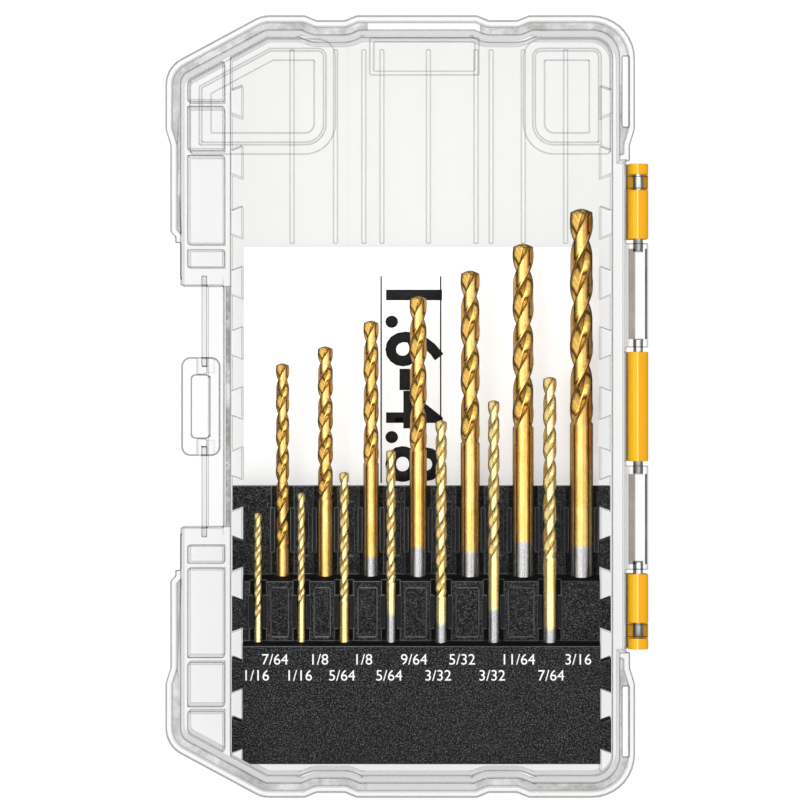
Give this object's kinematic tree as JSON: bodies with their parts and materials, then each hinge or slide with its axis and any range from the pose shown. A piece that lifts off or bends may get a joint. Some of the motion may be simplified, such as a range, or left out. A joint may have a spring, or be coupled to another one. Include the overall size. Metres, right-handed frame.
{
  "type": "drill bit case",
  "caption": "Flat clear plastic case with a side hinge, a pivoting latch in a finger recess, a stepped holder and twist drill bits.",
  "frame": {"origin": "middle of the case's flat back, on the face it rests on", "axes": "+X from the latch side to the hinge side, +Y from the bit holder's end to the head end, +Z from the back up to the lid"},
  "size_m": [0.0988, 0.16, 0.03],
  "materials": {
    "clear_plastic": "clear, polished",
    "yellow_plastic": "satin",
    "black_plastic": "fine grained",
    "pin_steel": "drawn wire",
    "coated_steel": "gold nitride coat, bare steel at the shank end",
    "white_card": "smooth card"
  },
  "bodies": {
    "base": {"base_shell": "clear_plastic", "hinge_knuckle_upper": "yellow_plastic", "hinge_knuckle_middle": "yellow_plastic", "hinge_knuckle_lower": "yellow_plastic", "hinge_pin_upper": "pin_steel", "hinge_pin_middle": "pin_steel", "hinge_pin_lower": "pin_steel", "bit_holder": "black_plastic", "backing_card": "white_card"},
    "lid": {"lid_shell": "clear_plastic", "latch_pin_upper": "clear_plastic", "latch_pin_lower": "clear_plastic"},
    "latch": {"latch": "clear_plastic"},
    "long_bit_1": {"long_bit_1": "coated_steel"},
    "long_bit_2": {"long_bit_2": "coated_steel"},
    "long_bit_3": {"long_bit_3": "coated_steel"},
    "long_bit_4": {"long_bit_4": "coated_steel"},
    "long_bit_5": {"long_bit_5": "coated_steel"},
    "long_bit_6": {"long_bit_6": "coated_steel"},
    "long_bit_7": {"long_bit_7": "coated_steel"},
    "short_bit_1": {"short_bit_1": "coated_steel"},
    "short_bit_2": {"short_bit_2": "coated_steel"},
    "short_bit_3": {"short_bit_3": "coated_steel"},
    "short_bit_4": {"short_bit_4": "coated_steel"},
    "short_bit_5": {"short_bit_5": "coated_steel"},
    "short_bit_6": {"short_bit_6": "coated_steel"},
    "short_bit_7": {"short_bit_7": "coated_steel"}
  },
  "joints": [
    {"name": "lid_hinge", "type": "hinge", "parent": "base", "child": "lid", "pos_m": [0.0487, 0, 0.0191], "axis": [0, 1, 0], "range_deg": [0, 180]},
    {"name": "latch_pivot", "type": "hinge", "parent": "lid", "child": "latch", "pos_m": [-0.04, 0, 0.0243], "axis": [0, 1, 0], "range_deg": [0, 60]},
    {"name": "long_bit_1_slide", "type": "slide", "parent": "base", "child": "long_bit_1", "axis": [0, 1, 0], "range_m": [0, 0.0147]},
    {"name": "long_bit_2_slide", "type": "slide", "parent": "base", "child": "long_bit_2", "axis": [0, 1, 0], "range_m": [0, 0.0147]},
    {"name": "long_bit_3_slide", "type": "slide", "parent": "base", "child": "long_bit_3", "axis": [0, 1, 0], "range_m": [0, 0.0147]},
    {"name": "long_bit_4_slide", "type": "slide", "parent": "base", "child": "long_bit_4", "axis": [0, 1, 0], "range_m": [0, 0.0147]},
    {"name": "long_bit_5_slide", "type": "slide", "parent": "base", "child": "long_bit_5", "axis": [0, 1, 0], "range_m": [0, 0.0147]},
    {"name": "long_bit_6_slide", "type": "slide", "parent": "base", "child": "long_bit_6", "axis": [0, 1, 0], "range_m": [0, 0.0147]},
    {"name": "long_bit_7_slide", "type": "slide", "parent": "base", "child": "long_bit_7", "axis": [0, 1, 0], "range_m": [0, 0.0147]},
    {"name": "short_bit_1_slide", "type": "slide", "parent": "base", "child": "short_bit_1", "axis": [0, 1, 0], "range_m": [0, 0.0147]},
    {"name": "short_bit_2_slide", "type": "slide", "parent": "base", "child": "short_bit_2", "axis": [0, 1, 0], "range_m": [0, 0.0147]},
    {"name": "short_bit_3_slide", "type": "slide", "parent": "base", "child": "short_bit_3", "axis": [0, 1, 0], "range_m": [0, 0.0147]},
    {"name": "short_bit_4_slide", "type": "slide", "parent": "base", "child": "short_bit_4", "axis": [0, 1, 0], "range_m": [0, 0.0147]},
    {"name": "short_bit_5_slide", "type": "slide", "parent": "base", "child": "short_bit_5", "axis": [0, 1, 0], "range_m": [0, 0.0147]},
    {"name": "short_bit_6_slide", "type": "slide", "parent": "base", "child": "short_bit_6", "axis": [0, 1, 0], "range_m": [0, 0.0147]},
    {"name": "short_bit_7_slide", "type": "slide", "parent": "base", "child": "short_bit_7", "axis": [0, 1, 0], "range_m": [0, 0.0147]}
  ]
}
